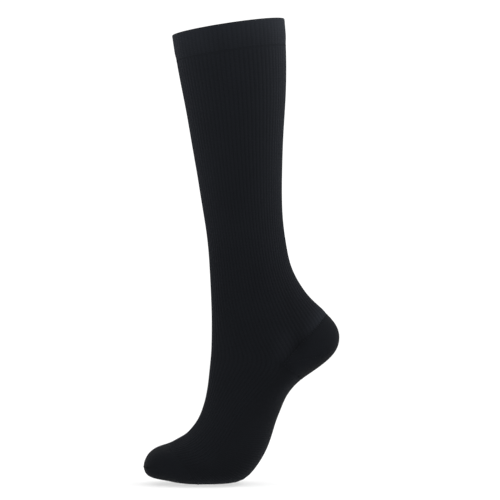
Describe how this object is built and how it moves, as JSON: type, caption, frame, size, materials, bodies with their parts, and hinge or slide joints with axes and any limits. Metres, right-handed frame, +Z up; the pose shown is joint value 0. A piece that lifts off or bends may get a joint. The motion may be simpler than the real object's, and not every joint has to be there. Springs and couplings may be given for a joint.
{
  "type": "compression stocking",
  "caption": "Knee-high ribbed compression stocking with a closed toe, in the hollow form it keeps on a leg raised on tiptoe.",
  "frame": {"origin": "middle of the turned welt, where the calf holds the stocking up", "axes": "+Z up along the leg, -X the way the toes point, +X towards the heel and calf, Y across the stocking, which is the same on both sides of y = 0"},
  "size_m": [0.1993, 0.1064, 0.4743],
  "materials": {
    "welt_knit": "matte",
    "rib_knit": "matte",
    "dense_knit": "matte"
  },
  "bodies": {
    "root": {"welt": "welt_knit", "leg": "rib_knit", "heel_pocket": "dense_knit", "foot": "rib_knit", "toe_pocket": "dense_knit"}
  },
  "joints": []
}
